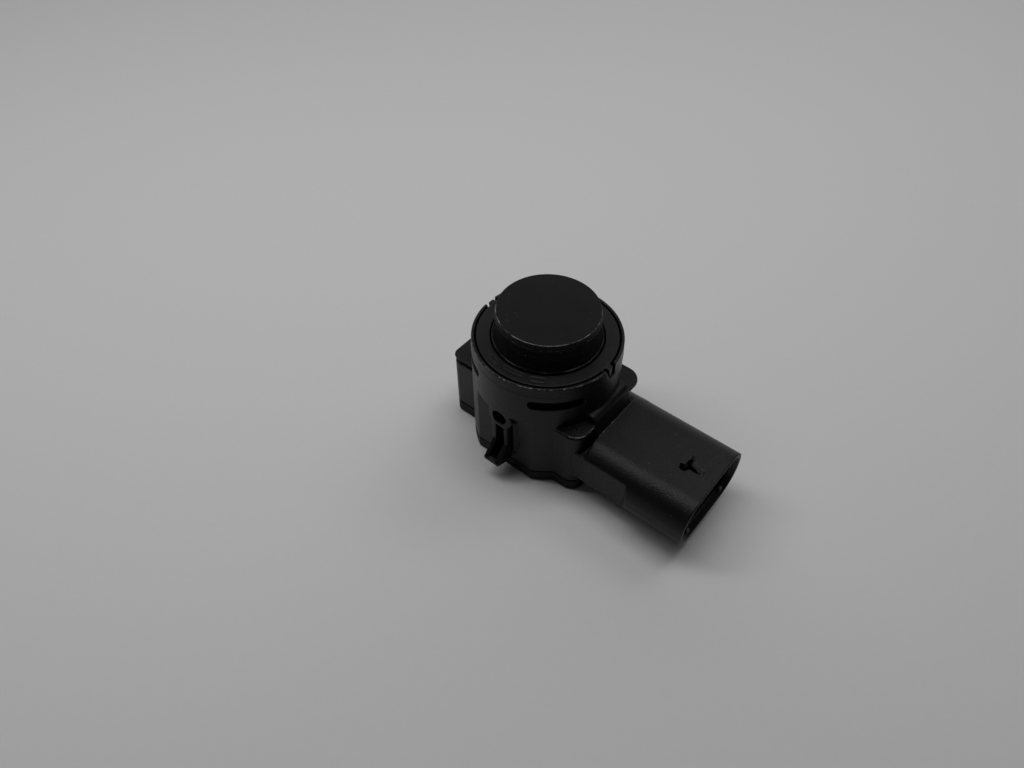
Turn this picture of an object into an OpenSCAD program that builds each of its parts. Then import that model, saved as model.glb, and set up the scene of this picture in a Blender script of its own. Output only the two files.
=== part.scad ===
// Ultrasonic parking sensor in millimetres.
// The barrel axis is +Z, the base plane is z = 0, the connector points along +X.

/* [Head] */
// radius of the flat sensing face
face_r = 7.55; // [6:0.05:9]
// widest radius of the sensing disc
lip_r = 7.75; // [6.2:0.05:9.5]
// height of the sensing face above the base
face_z = 25.9; // [23:0.1:30]
// drop from the face to the widest edge of the disc
lip_drop = 0.85; // [0.3:0.05:1.5]
// height of the straight edge of the disc
lip_h = 0.4; // [0.1:0.05:0.8]
// radius of the cup behind the disc
cup_r = 7; // [6:0.1:7.4]
// wall thickness of the cup
cup_wall = 1.3; // [0.6:0.1:2]
// thickness of the sensing face
face_t = 1; // [0.6:0.1:1.5]
// height of the open end of the cup
cup_z = 17.2; // [16.5:0.1:19]
// radius of the soft collar just under the disc
neck_r = 7.35; // [7.1:0.05:7.7]
// radius of the soft collar where it leaves the ring
collar_r = 8.25; // [7.8:0.05:9]
// height at which the collar starts to taper
collar_z = 21.2; // [20:0.1:22.5]

/* [Ring] */
// inner radius of the retaining ring
ring_ri = 8.42; // [8:0.02:9.5]
// outer radius of the retaining ring
ring_ro = 10.5; // [9.8:0.02:11]
// height of the top of the ring
ring_z = 21.05; // [20:0.05:23]
// thickness of the ring
ring_t = 2.05; // [1:0.05:3]
// half width of a ring lug at its top
lug_w = 0.52; // [0.3:0.02:1.5]
// height of a ring lug
lug_h = 1.85; // [0.5:0.05:2]
// reach of a ring lug from the axis
lug_r = 11.08; // [10.7:0.02:11.3]
// clear width on each side of a lug
lug_gap = 0.5; // [0.1:0.05:1]
// depth of the blank fields in the ring
field_d = 0.12; // [0.05:0.01:0.3]

/* [Barrel] */
// outer radius of the barrel
barrel_r = 11.3; // [10:0.05:13]
// outer radius at the top rim
rim_r = 11.22; // [10:0.02:13]
// height of the rim
rim_z = 21.1; // [20:0.1:24]
// height at which the rim band starts
band_z = 19.4; // [18:0.1:21]
// bore of the rim around the ring
seat_r = 10.75; // [10:0.02:11]
// bore of the head chamber
head_bore_r = 9.8; // [9:0.1:10.4]
// top of the wall between head and electronics
wall_top_z = 15.5; // [14:0.1:16.5]
// thickness of that wall
wall_t = 1.5; // [0.8:0.1:2.5]
// bore of the electronics chamber
chamber_r = 9; // [8:0.1:9.4]
// underside of the circumferential slots
slot_z = 16.9; // [16:0.05:18]
// height of the circumferential slots
slot_h = 1.5; // [0.6:0.05:2]
// angle covered by one slot
slot_a = 42; // [20:1:60]
// depth of the slots
slot_d = 1; // [0.4:0.05:1.3]
// distance of the side flats from the axis
flat_y = 10; // [9.6:0.05:11]
// upper end of the side flats
flat_z = 13.4; // [10:0.1:15]

/* [Tongue] */
// half width of the snap tongue
tongue_w = 1.37; // [0.8:0.01:2.5]
// thickness of the two tongue walls
tongue_t = 0.65; // [0.4:0.05:1]
// reach of the hook tip from the axis
hook_y = 13.4; // [12:0.1:15]
// height of the hook tip edge
hook_z = 3.4; // [3:0.05:6]
// height of the hook tip
hook_t = 0.55; // [0.2:0.05:1.2]
// height at which the tongue starts to lean out
kink_z = 6.6; // [5:0.1:9]
// height of the hole above the tongue
eye_z = 12.2; // [11:0.1:13]
// radius of that hole
eye_r = 1.25; // [0.5:0.05:1.6]
// radius of the boss around the hole
eye_boss_r = 2.15; // [1.6:0.05:2.6]

/* [Connector] */
// half width of the connector shroud
shroud_w = 8.42; // [7:0.02:10]
// height of the connector shroud
shroud_h = 8.76; // [7:0.02:11]
// corner radius of the shroud
shroud_r = 4.04; // [2:0.02:4.3]
// height of the shroud top above the base
shroud_z = 11.12; // [9:0.02:13]
// distance of the mouth from the barrel axis
mouth_x = 30.2; // [24:0.1:36]
// half width of the socket
socket_w = 7.2; // [5:0.05:7.6]
// height of the socket
socket_h = 6.76; // [5:0.02:9]
// corner radius of the socket
socket_r = 3.04; // [1:0.02:3.3]
// distance of the socket floor from the barrel axis
socket_x = 16.5; // [14:0.1:20]
// distance of the guide ribs from the middle of the socket
rib_y = 4.7; // [3:0.1:5.5]
// width of a guide rib
rib_w = 0.6; // [0.3:0.05:1]
// height of a guide rib
rib_h = 0.4; // [0.2:0.05:0.5]
// depth of the step beside the latch window
window_step = 0.35; // [0.1:0.05:0.8]
// half width across the side flats of the shroud
shroud_flat_w = 7.66; // [7.3:0.02:8.4]
// end of the side flats
shroud_flat_x = 20.2; // [16:0.1:24]
// width of a terminal blade
blade_w = 1.2; // [0.6:0.05:2]
// thickness of a terminal blade
blade_t = 0.64; // [0.4:0.02:1]
// distance between terminals
blade_pitch = 3.6; // [2.5:0.1:4]
// distance of the terminal tips from the barrel axis
blade_tip_x = 25; // [22:0.1:28]

/* [Blocks] */
// reach of the corner columns along the connector
column_x = 12.15; // [11:0.05:14]
// half width over the corner columns
column_y = 8; // [7:0.05:9]
// corner radius of the columns
column_r = 2.2; // [0.5:0.05:3]
// height of the near column
column_z = 12.93; // [11:0.01:14]
// reach of the far column above the connector
column_far_x = 10.8; // [10:0.05:12]
// half width of the far column above the connector
column_far_y = 7.3; // [6:0.05:8]
// radius of the rounded plate on the far column
lobe_r = 2.6; // [1.5:0.05:3]
// thickness of the plate on the far column
lobe_t = 0.45; // [0.2:0.05:1]
// height of the valley between columns and connector
valley_z = 9.4; // [8:0.05:10.5]
// height of the shallow side of the valley, beyond the gusset
valley_far_z = 10.9; // [9:0.05:11]
// start of the upper part of the connector
shroud_back_x = 12.85; // [12.3:0.05:14]
// height of the gusset
gusset_z = 14.3; // [13:0.05:15]
// near end of the gusset, measured from the middle
gusset_near = 4; // [2:0.05:6]
// far end of the gusset, measured from the middle
gusset_far = 4.6; // [2:0.05:6]
// rounding of the gusset
gusset_r = 1.35; // [0.5:0.05:2]
// reach of the side block from the axis
block_x = 13.75; // [12:0.05:16]
// half width of the side block
block_y = 6.3; // [4:0.05:7]
// corner radius of the side block
block_r = 1.2; // [0.3:0.05:2]
// height of the side block with its plate
block_z = 12.93; // [10:0.01:14]
// overhang of the plate
plate_o = 0.2; // [0.1:0.05:0.8]
// thickness of the plate
plate_t = 0.35; // [0.2:0.05:1]
// height of the groove under the plate
groove_h = 0.95; // [0.2:0.05:1.2]
// depth of the groove under the plate
groove_d = 0.75; // [0.1:0.05:0.8]

/* [Cover] */
// thickness of the rear cover
cover_t = 2.3; // [1:0.05:3]
// depth and height of the seam groove
seam = 0.14; // [0.05:0.01:0.3]
// height of the rim that enters the housing
cover_rim_h = 1; // [0.5:0.1:2]

/* [Electronics] */
// underside of the circuit board
board_z = 5.2; // [4:0.05:6]
// thickness of the circuit board
board_t = 1.2; // [0.6:0.05:1.6]
// half width of the circuit board
board_y = 4.6; // [3.5:0.05:4.8]
// radius of the piezo disc
piezo_r = 4.2; // [3:0.1:4.6]
// thickness of the piezo disc
piezo_t = 0.45; // [0.2:0.05:0.8]
// thickness of the plug that closes the cup
plug_t = 3.3; // [1:0.1:4]
// radius of a lead
lead_r = 0.25; // [0.15:0.01:0.4]
// distance of the signal lead from the axis
signal_x = 3; // [1:0.1:3.8]
// distance of the ground lead from the axis
ground_x = 4.9; // [4.6:0.05:5.2]

/* [Hidden] */
$fn = 96;
e = 0.01;
lip_z = face_z - lip_drop;
neck_z = lip_z - lip_h;
ring_bottom = ring_z - ring_t;
board_top = board_z + board_t;
blade_z = board_top;
shroud_mid = shroud_z - shroud_h / 2;
cup_inner = cup_r - cup_wall;
cup_top = face_z - face_t;
wall_bottom = wall_top_z - wall_t;
chamber_block_x = block_x - 1.2;
chamber_block_y = block_y - 1.2;
chamber_column_x = column_x - 1.15;
chamber_column_y = column_y - 1.6;
chamber_low_z = block_z - 1.5;
gusset_x = column_x + 0.1 - gusset_r;
neck_a = collar_r - neck_r;
neck_b = neck_z - collar_z;
neck_arc = (neck_a * neck_a + neck_b * neck_b) / (2 * neck_a);
tail_x = chamber_column_x - 3.4;

// rectangle from x0 to x1 with both corners at x1 rounded
module nose2(x0, x1, w, r) {
    s = sign(x1 - x0);
    union() {
        translate([min(x0, x1 - s * r), -w]) square([abs(x1 - s * r - x0), 2 * w]);
        translate([min(x0, x1), -(w - r)]) square([abs(x1 - x0), 2 * (w - r)]);
        translate([x1 - s * r, w - r]) circle(r = r);
        translate([x1 - s * r, -(w - r)]) circle(r = r);
    }
}

module rounded2(w, h, r) {
    union() {
        square([2 * w, h - 2 * r], center = true);
        square([2 * w - 2 * r, h], center = true);
        for (i = [-1, 1], j = [-1, 1])
            translate([i * (w - r), j * (h / 2 - r)]) circle(r = r);
    }
}

module sector2(r0, r1, a0, a1) {
    intersection() {
        difference() {
            circle(r = r1);
            circle(r = r0);
        }
        polygon([[0, 0],
                 [2 * r1 * cos(a0), 2 * r1 * sin(a0)],
                 [2 * r1 * cos((a0 + a1) / 2), 2 * r1 * sin((a0 + a1) / 2)],
                 [2 * r1 * cos(a1), 2 * r1 * sin(a1)]]);
    }
}

// plan of the foot, drawn in by g
module foot2(g) {
    union() {
        intersection() {
            circle(r = barrel_r - g);
            square([4 * barrel_r, 2 * (flat_y - g)], center = true);
        }
        nose2(0, column_x - g, column_y - g, column_r);
        nose2(0, -(block_x - g), block_y - g, block_r);
    }
}

// plan of the electronics chamber, drawn in by g
module chamber2(g) {
    union() {
        circle(r = chamber_r - g);
        nose2(0, chamber_column_x - g, chamber_column_y - g, 1);
        nose2(0, -(chamber_block_x - g), chamber_block_y - g, 0.8);
    }
}

// extrudes a (y, z) profile along +X
module along_x(x0, x1) {
    translate([x0, 0, 0]) rotate([90, 0, 90]) linear_extrude(height = x1 - x0) children();
}

module wall_profile() {
    polygon([[-9.4, eye_z], [-(barrel_r - 0.15), eye_z], [-(barrel_r - 0.15), kink_z],
             [-hook_y, hook_z + hook_t], [-hook_y, hook_z], [-11.5, hook_z - 0.7],
             [-9.4, hook_z - 0.7]]);
}

module tongue() {
    difference() {
        union() {
            intersection() {
                translate([0, -9.4, eye_z]) rotate([90, 0, 0]) cylinder(r = eye_boss_r, h = 3);
                cylinder(r = barrel_r - 0.02, h = 20);
            }
            along_x(tongue_w - tongue_t, tongue_w) wall_profile();
            along_x(-tongue_w, -(tongue_w - tongue_t)) wall_profile();
            along_x(-tongue_w, tongue_w)
                polygon([[-9.4, hook_z - 0.7], [-11.5, hook_z - 0.7], [-hook_y, hook_z],
                         [-hook_y, hook_z + hook_t], [-12.75, hook_z + hook_t + 0.05],
                         [-11.6, hook_z + 0.1], [-9.4, hook_z + 0.1]]);
            for (s = [-1, 1])
                translate([s * 2.15 - 0.3, -flat_y - 0.3, 4.8]) cube([0.6, 1, 6.8]);
        }
        along_x(-(tongue_w - tongue_t), tongue_w - tongue_t)
            polygon([[-9.5, hook_z + 0.1], [-11.6, hook_z + 0.1], [-12.75, hook_z + hook_t + 0.05],
                     [-14, hook_z + hook_t + 0.1], [-14, 10.3], [-9.5, 10.3]]);
    }
}

// the cuts beside the tongue, deeper than the side flat
module tongue_gaps() {
    for (s = [-1, 1]) {
        translate([s * 1.61 - 0.24, -flat_y - 1, 4.4]) cube([0.48, 1.5, 6.6]);
        translate([s * 2.15 - 0.4, -flat_y - 1, flat_z - 1.1]) cube([0.8, 1.5, 1.1]);
    }
    translate([-(tongue_w - tongue_t), -flat_y - 1, hook_z + 0.1])
        cube([2 * (tongue_w - tongue_t), 1.5, 6.5]);
}

module shroud_body() {
    difference() {
        along_x(9, mouth_x) translate([0, shroud_mid]) rounded2(shroud_w, shroud_h, shroud_r);
        for (s = [-1, 1]) scale([1, s, 1])
            linear_extrude(height = 20)
                polygon([[8, shroud_flat_w], [shroud_flat_x, shroud_flat_w],
                         [shroud_flat_x + 0.8, shroud_w + 0.2], [shroud_flat_x + 0.8, 12], [8, 12]]);
        // valley towards the columns, deep on the near side only
        translate([8, -10, valley_far_z]) cube([shroud_back_x - 8, 20, 4]);
        translate([8, -10, valley_z]) cube([shroud_back_x - 8, 10, 4]);
    }
}

module housing() {
    color([0.09, 0.09, 0.095])
    union() {
    // guide ribs on the floor of the socket
    for (s = [-1, 1])
        translate([socket_x - 0.5, s * rib_y - rib_w / 2, shroud_mid - socket_h / 2 - 0.5])
            cube([mouth_x - 0.6 - socket_x + 0.5, rib_w, rib_h + 0.5]);
    difference() {
        union() {
            difference() {
                union() {
                    // barrel and rim
                    translate([0, 0, flat_z]) cylinder(r = barrel_r, h = band_z - flat_z);
                    translate([0, 0, band_z])
                        cylinder(r1 = barrel_r, r2 = rim_r, h = rim_z - band_z);
                    translate([0, 0, cover_t]) linear_extrude(height = flat_z - cover_t)
                        intersection() {
                            circle(r = barrel_r);
                            square([4 * barrel_r, 2 * flat_y], center = true);
                        }
                    // corner columns
                    translate([0, 0, cover_t]) linear_extrude(height = valley_z - 1 - cover_t)
                        nose2(0, column_x, column_y, column_r);
                    translate([0, 0, cover_t]) linear_extrude(height = column_z - cover_t)
                        intersection() {
                            nose2(0, column_x, column_y, column_r);
                            translate([-20, gusset_far - 0.3 - 40]) square([40, 40]);
                        }
                    // far column with its rounded plate
                    translate([0, 0, cover_t]) linear_extrude(height = column_z - cover_t - 0.1)
                        nose2(0, column_far_x, column_far_y, column_r - 0.8);
                    translate([0, 0, column_z - lobe_t]) linear_extrude(height = lobe_t)
                        union() {
                            translate([column_x - lobe_r + 0.1, column_y + 0.8 - lobe_r]) circle(r = lobe_r);
                            square([column_x - lobe_r + 0.1, column_y + 0.75]);
                            square([column_x + 0.05, column_y + 0.8 - lobe_r]);
                        }
                    // side block with its plate
                    translate([0, 0, cover_t])
                        linear_extrude(height = block_z - plate_t - groove_h - cover_t)
                            nose2(0, -block_x, block_y, block_r);
                    translate([0, 0, cover_t])
                        linear_extrude(height = block_z - plate_t - cover_t + e)
                            nose2(0, -(block_x - groove_d), block_y - groove_d, block_r);
                    translate([0, 0, block_z - plate_t]) linear_extrude(height = plate_t)
                        nose2(0, -(block_x + 0.05), block_y + plate_o, block_r + plate_o);
                    // gusset
                    translate([0, gusset_far, 0]) rotate([90, 0, 0])
                        linear_extrude(height = gusset_near + gusset_far)
                            union() {
                                polygon([[8, 9], [8, gusset_z], [gusset_x, gusset_z],
                                         [gusset_x, gusset_z - gusset_r],
                                         [gusset_x + gusset_r, gusset_z - gusset_r],
                                         [shroud_back_x + 0.1, shroud_z - 0.1], [shroud_back_x + 0.1, 9]]);
                                translate([gusset_x, gusset_z - gusset_r]) circle(r = gusset_r);
                            }
                    shroud_body();
                }
                // cuts beside the tongues
                tongue_gaps();
                mirror([0, 1, 0]) tongue_gaps();
            }
            tongue();
            mirror([0, 1, 0]) tongue();
        }
        // holes above the tongues
        for (a = [0, 180]) rotate([0, 0, a])
            translate([0, -9.6, eye_z]) rotate([90, 0, 0]) cylinder(r = eye_r, h = 4);
        // head chamber and ring seat
        translate([0, 0, wall_top_z]) cylinder(r = head_bore_r, h = 10);
        translate([0, 0, ring_bottom]) cylinder(r = seat_r, h = 10);
        // notches for the ring lugs
        for (s = [0, 1]) mirror([s, 0, 0]) along_x(10, 12)
            translate([0.1, ring_z])
                polygon([[-lug_w - lug_gap, 1], [-lug_w - lug_gap, -0.2],
                         [-lug_w + 0.27, -lug_h - 0.1], [lug_w + lug_gap, -lug_h - 0.1],
                         [lug_w + lug_gap, 1]]);
        // electronics chamber
        translate([0, 0, cover_t - 1]) cylinder(r = chamber_r, h = wall_bottom - cover_t + 1);
        translate([0, 0, cover_t - 1]) linear_extrude(height = valley_z - 1.2 - cover_t + 1)
            chamber2(0);
        translate([0, 0, cover_t - 1]) linear_extrude(height = chamber_low_z - cover_t + 1)
            nose2(0, -chamber_block_x, chamber_block_y, 0.8);
        // holes for the two leads
        translate([signal_x, 0, wall_bottom - 1]) cylinder(r = 0.5, h = wall_t + 2);
        translate([-ground_x, 0, wall_bottom - 1]) cylinder(r = 0.5, h = wall_t + 2);
        // slots round the barrel
        for (a = [45, 135, 225, 315])
            translate([0, 0, slot_z]) linear_extrude(height = slot_h)
                sector2(barrel_r - slot_d, barrel_r + 1, a - slot_a / 2, a + slot_a / 2);
        // socket with a stepped mouth, and the latch window
        along_x(socket_x, mouth_x + 1)
            translate([0, shroud_mid]) rounded2(socket_w, socket_h, socket_r);
        along_x(mouth_x - 0.5, mouth_x + 1)
            translate([0, shroud_mid]) rounded2(socket_w + 0.3, socket_h + 0.6, socket_r + 0.3);
        translate([0, 0, shroud_mid]) linear_extrude(height = 10)
            translate([mouth_x, 0])
                polygon([[-5.6, -0.5], [-4.9, -0.45], [-4.85, 0.3], [-4.6, 0.4], [-2.5, -0.48],
                         [-2.45, -0.7], [-4.2, -0.75], [-4.45, -1.5], [-5.35, -1.4]]);
        translate([0, 0, shroud_z - window_step]) linear_extrude(height = 10)
            translate([mouth_x, 0])
                polygon([[-4.75, 0.2], [-4.9, 0.45], [-4.68, 1.08], [-4.95, 1.8], [-4.8, 1.9],
                         [-4.4, 1.08], [-3.4, 0.52], [-2.3, 0.38], [-2.12, -0.3], [-2.35, -0.62],
                         [-3.2, -0.5]]);
        // passages of the terminals
        for (i = [-1, 0, 1])
            translate([chamber_column_x - 1, i * blade_pitch - blade_w / 2, blade_z])
                cube([socket_x - chamber_column_x + 2, blade_w, blade_t]);
    }
    }
}

module rear_cover() {
    color([0.085, 0.085, 0.095])
    union() {
        linear_extrude(height = cover_t - seam) foot2(0);
        translate([0, 0, cover_t - seam - e]) linear_extrude(height = seam + e) foot2(seam);
        translate([0, 0, cover_t - e]) linear_extrude(height = cover_rim_h + e)
            difference() {
                chamber2(0.1);
                chamber2(1.1);
            }
        for (i = [-10.6, 6.6], j = [-3.4, 3.4])
            translate([i, j, cover_t - e]) cylinder(r = 0.9, h = board_z - cover_t + e);
    }
}

module retaining_ring() {
    color([0.09, 0.09, 0.11])
    difference() {
        union() {
            translate([0, 0, ring_bottom]) cylinder(r = ring_ro, h = ring_t);
            for (s = [0, 1]) mirror([s, 0, 0])
                intersection() {
                    along_x(9.5, 12) translate([0.1, ring_z])
                        polygon([[-lug_w, 0], [-lug_w + 0.36, -lug_h], [lug_w, -lug_h], [lug_w, 0]]);
                    cylinder(r = lug_r, h = 40);
                }
        }
        translate([0, 0, ring_bottom - 1]) cylinder(r = ring_ri, h = ring_t + 2);
        translate([0, 0, ring_z - field_d]) linear_extrude(height = 1) {
            sector2(9.1, 9.95, -114, -102);
            sector2(8.85, 9.55, -95, -73);
            sector2(8.95, 9.95, -68, -54);
        }
    }
}

module decoupling_ring() {
    color([0.06, 0.06, 0.06])
    rotate_extrude()
        difference() {
            union() {
                translate([cup_inner - 0.3, wall_top_z])
                    square([head_bore_r - cup_inner + 0.3, cup_z - wall_top_z]);
                translate([cup_r, cup_z - e])
                    square([head_bore_r - cup_r, ring_bottom - cup_z + e]);
                translate([cup_r, ring_bottom - e])
                    square([collar_r - cup_r, neck_z - ring_bottom + e]);
            }
            translate([neck_r + neck_arc, neck_z]) circle(r = neck_arc, $fn = 180);
        }
}

module membrane_pot() {
    color([0.07, 0.07, 0.075])
    rotate_extrude()
        polygon([[0, cup_top], [0, face_z], [face_r, face_z], [lip_r, lip_z],
                 [lip_r, neck_z], [cup_r, neck_z], [cup_r, cup_z],
                 [cup_inner, cup_z], [cup_inner, cup_top]]);
}

module piezo_disc() {
    color([0.75, 0.72, 0.62])
    translate([0, 0, cup_top - piezo_t]) cylinder(r = piezo_r, h = piezo_t);
}

module damping_foam() {
    color([0.55, 0.55, 0.52])
    difference() {
        translate([0, 0, cup_z + plug_t])
            cylinder(r = cup_inner, h = cup_top - piezo_t - cup_z - plug_t);
        translate([signal_x, 0, 0]) cylinder(r = lead_r, h = 40);
        translate([-ground_x, 0, 0]) cylinder(r = lead_r, h = 40);
    }
}

module pot_plug() {
    color([0.25, 0.25, 0.25])
    difference() {
        translate([0, 0, cup_z]) cylinder(r = cup_inner, h = plug_t);
        translate([signal_x, 0, 0]) cylinder(r = lead_r, h = 40);
        translate([-ground_x, 0, 0]) cylinder(r = lead_r, h = 40);
    }
}

module signal_lead() {
    color([0.72, 0.45, 0.2])
    translate([signal_x, 0, board_top])
        cylinder(r = lead_r, h = cup_top - piezo_t - board_top);
}

module ground_lead() {
    color([0.72, 0.45, 0.2])
    translate([-ground_x, 0, board_top]) cylinder(r = lead_r, h = cup_top - board_top);
}

module circuit_board() {
    color([0.05, 0.3, 0.15])
    translate([0, 0, board_z]) linear_extrude(height = board_t)
        union() {
            nose2(0, chamber_column_x - 0.6, board_y, 0.8);
            nose2(0, -(chamber_block_x - 0.4), board_y, 0.8);
        }
}

module control_chip() {
    color([0.1, 0.1, 0.1])
    translate([-2.5, -2, board_z - 1.3]) cube([5, 4, 1.15]);
}

module chip_leads() {
    color([0.75, 0.75, 0.75])
    for (s = [-1, 1], i = [0:6])
        translate([(i - 3) * 0.65 - 0.14, 0, 0]) scale([1, s, 1])
            translate([0.28, 0, 0]) rotate([90, 0, 270]) linear_extrude(height = 0.28)
                polygon([[-2, board_z - 0.8], [-2.5, board_z - 0.8], [-2.5, board_z - 0.16],
                         [-3.1, board_z - 0.16], [-3.1, board_z], [-2.34, board_z],
                         [-2.34, board_z - 0.64], [-2, board_z - 0.64]]);
}

module transformer_core() {
    color([0.22, 0.22, 0.23])
    translate([-9.7, 0, board_top]) union() {
        translate([-2.2, -2.3, 0]) cube([4.4, 4.6, 0.8]);
        cylinder(r = 1.2, h = 4);
        translate([-2.2, -2.3, 3.2]) cube([4.4, 4.6, 0.8]);
    }
}

module transformer_winding() {
    color([0.7, 0.4, 0.15])
    translate([-9.7, 0, board_top + 0.8]) difference() {
        cylinder(r = 2, h = 2.4);
        translate([0, 0, -1]) cylinder(r = 1.2, h = 5);
    }
}

module buffer_capacitor() {
    color([0.6, 0.6, 0.62])
    translate([-3.9, 2.75, board_top]) union() {
        cylinder(r = 1.7, h = 0.5);
        translate([0, 0, 0.4]) cylinder(r = 1.55, h = 3.8);
    }
}

module ceramic_capacitors() {
    color([0.62, 0.5, 0.35])
    for (p = [[0, 3.4], [2.4, 3.4], [0.2, -3.4], [2.6, -3.4]])
        translate([p[0] - 0.8, p[1] - 0.4, board_top]) cube([1.6, 0.8, 0.8]);
}

module chip_resistors() {
    color([0.12, 0.12, 0.12])
    for (p = [[-2.2, -3.4], [-4.6, -3.4], [5, 3.4], [5, -3.4], [-0.4, 1.5]])
        translate([p[0] - 0.8, p[1] - 0.4, board_top]) cube([1.6, 0.8, 0.45]);
}

module protection_diode() {
    color([0.13, 0.13, 0.13])
    translate([-1.8, -1.9, board_top]) cube([2.7, 1.6, 1.1]);
}

module terminal(i) {
    translate([0, i * blade_pitch, blade_z]) linear_extrude(height = blade_t)
        polygon([[tail_x, -blade_w / 2], [blade_tip_x - 0.8, -blade_w / 2],
                 [blade_tip_x, -blade_w / 5], [blade_tip_x, blade_w / 5],
                 [blade_tip_x - 0.8, blade_w / 2], [tail_x, blade_w / 2]]);
}

module terminal_supply() {
    color([0.8, 0.78, 0.7]) terminal(-1);
}

module terminal_signal() {
    color([0.8, 0.78, 0.7]) terminal(0);
}

module terminal_ground() {
    color([0.8, 0.78, 0.7]) terminal(1);
}

module solder_joints() {
    color([0.7, 0.7, 0.72]) union() {
        for (i = [-1, 0, 1]) difference() {
            translate([tail_x, i * blade_pitch, board_top]) cylinder(r = 0.9, h = 0.45);
            translate([tail_x, i * blade_pitch - blade_w / 2, board_top - 1])
                cube([3, blade_w, 3]);
        }
        for (x = [signal_x, -ground_x]) difference() {
            translate([x, 0, board_top]) cylinder(r1 = 0.75, r2 = 0.4, h = 0.6);
            translate([x, 0, board_top - 1]) cylinder(r = lead_r, h = 3);
        }
    }
}

housing();
rear_cover();
retaining_ring();
decoupling_ring();
membrane_pot();
piezo_disc();
damping_foam();
pot_plug();
signal_lead();
ground_lead();
circuit_board();
control_chip();
chip_leads();
transformer_core();
transformer_winding();
buffer_capacitor();
ceramic_capacitors();
chip_resistors();
protection_diode();
terminal_supply();
terminal_signal();
terminal_ground();
solder_joints();
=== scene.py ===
import math

import bmesh
import bpy
import numpy as np
from mathutils import Matrix, Vector


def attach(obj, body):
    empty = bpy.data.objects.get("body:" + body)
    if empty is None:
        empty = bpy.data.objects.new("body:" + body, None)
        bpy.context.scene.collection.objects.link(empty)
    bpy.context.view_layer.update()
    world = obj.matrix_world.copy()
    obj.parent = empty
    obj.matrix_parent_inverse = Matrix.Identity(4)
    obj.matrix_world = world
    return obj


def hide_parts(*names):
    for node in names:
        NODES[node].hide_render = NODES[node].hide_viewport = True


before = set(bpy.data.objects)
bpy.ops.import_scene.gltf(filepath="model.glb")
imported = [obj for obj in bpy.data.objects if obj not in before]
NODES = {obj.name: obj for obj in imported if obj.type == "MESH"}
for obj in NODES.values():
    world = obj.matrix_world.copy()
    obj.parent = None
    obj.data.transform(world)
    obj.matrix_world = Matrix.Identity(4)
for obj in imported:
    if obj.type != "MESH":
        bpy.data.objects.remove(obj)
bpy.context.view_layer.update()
MM = 0.001
scene = bpy.context.scene
F = np.float32


# ---------------------------------------------------------------- camera
def make_camera():
    focal_px, az, el, roll = 763.2, math.radians(39.58), math.radians(47.95), math.radians(-0.157)
    centre = Vector((47.01, -65.08, 98.81)) * MM
    back = Vector((math.sin(az) * math.cos(el), -math.cos(az) * math.cos(el), math.sin(el)))
    right = Vector((math.cos(az), math.sin(az), 0.0))
    up = back.cross(right)
    r2 = right * math.cos(roll) + up * math.sin(roll)
    u2 = up * math.cos(roll) - right * math.sin(roll)
    cam = bpy.data.cameras.new("camera")
    cam.sensor_fit = "HORIZONTAL"
    cam.sensor_width = 36.0
    cam.lens = focal_px / 1024.0 * 36.0
    cam.clip_start = 0.002
    cam.clip_end = 20.0
    ob = bpy.data.objects.new("camera", cam)
    m = Matrix((r2, u2, back)).transposed().to_4x4()
    m.translation = centre
    ob.matrix_world = m
    scene.collection.objects.link(ob)
    scene.camera = ob


# ---------------------------------------------------------------- stage and light
def make_stage():
    bm = bmesh.new()
    n, half = 8, 1.4
    vs = [[bm.verts.new((half * (2 * i / n - 1), half * (2 * j / n - 1), 0.0)) for j in range(n + 1)]
          for i in range(n + 1)]
    for i in range(n):
        for j in range(n):
            bm.faces.new((vs[i][j], vs[i + 1][j], vs[i + 1][j + 1], vs[i][j + 1]))
    me = bpy.data.meshes.new("floor")
    bm.to_mesh(me)
    bm.free()
    floor = bpy.data.objects.new("floor", me)
    scene.collection.objects.link(floor)
    mat = bpy.data.materials.new("floor_paper")
    mat.use_nodes = True
    nt = mat.node_tree
    b = nt.nodes["Principled BSDF"]
    tc = nt.nodes.new("ShaderNodeTexCoord")
    no = nt.nodes.new("ShaderNodeTexNoise")
    no.inputs["Scale"].default_value = 900.0
    no.inputs["Detail"].default_value = 4.0
    nt.links.new(tc.outputs["Object"], no.inputs["Vector"])
    rp = nt.nodes.new("ShaderNodeValToRGB")
    rp.color_ramp.elements[0].color = (0.755, 0.755, 0.755, 1)
    rp.color_ramp.elements[1].color = (0.785, 0.785, 0.785, 1)
    nt.links.new(no.outputs["Fac"], rp.inputs["Fac"])
    nt.links.new(rp.outputs["Color"], b.inputs["Base Color"])
    b.inputs["Roughness"].default_value = 0.75
    b.inputs["Specular IOR Level"].default_value = 0.2
    me.materials.append(mat)


def card(name, side, toward, height, down, size, size_y, radiance):
    """soft box placed in the directions of the view: side to the right, toward the viewer, height above the floor"""
    az = math.radians(39.58)
    right, front = Vector((math.cos(az), math.sin(az), 0)), Vector((math.sin(az), -math.cos(az), 0))
    li = bpy.data.lights.new(name, "AREA")
    li.shape = "RECTANGLE"
    li.size, li.size_y = size, size_y
    li.energy = math.pi * size * size_y * radiance
    ob = bpy.data.objects.new(name, li)
    z = Vector((0, 0, 1)) if down else -front
    m = Matrix((right, z.cross(right), z)).transposed().to_4x4()
    m.translation = right * side + front * toward + Vector((0, 0, height))
    ob.matrix_world = m
    scene.collection.objects.link(ob)


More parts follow.
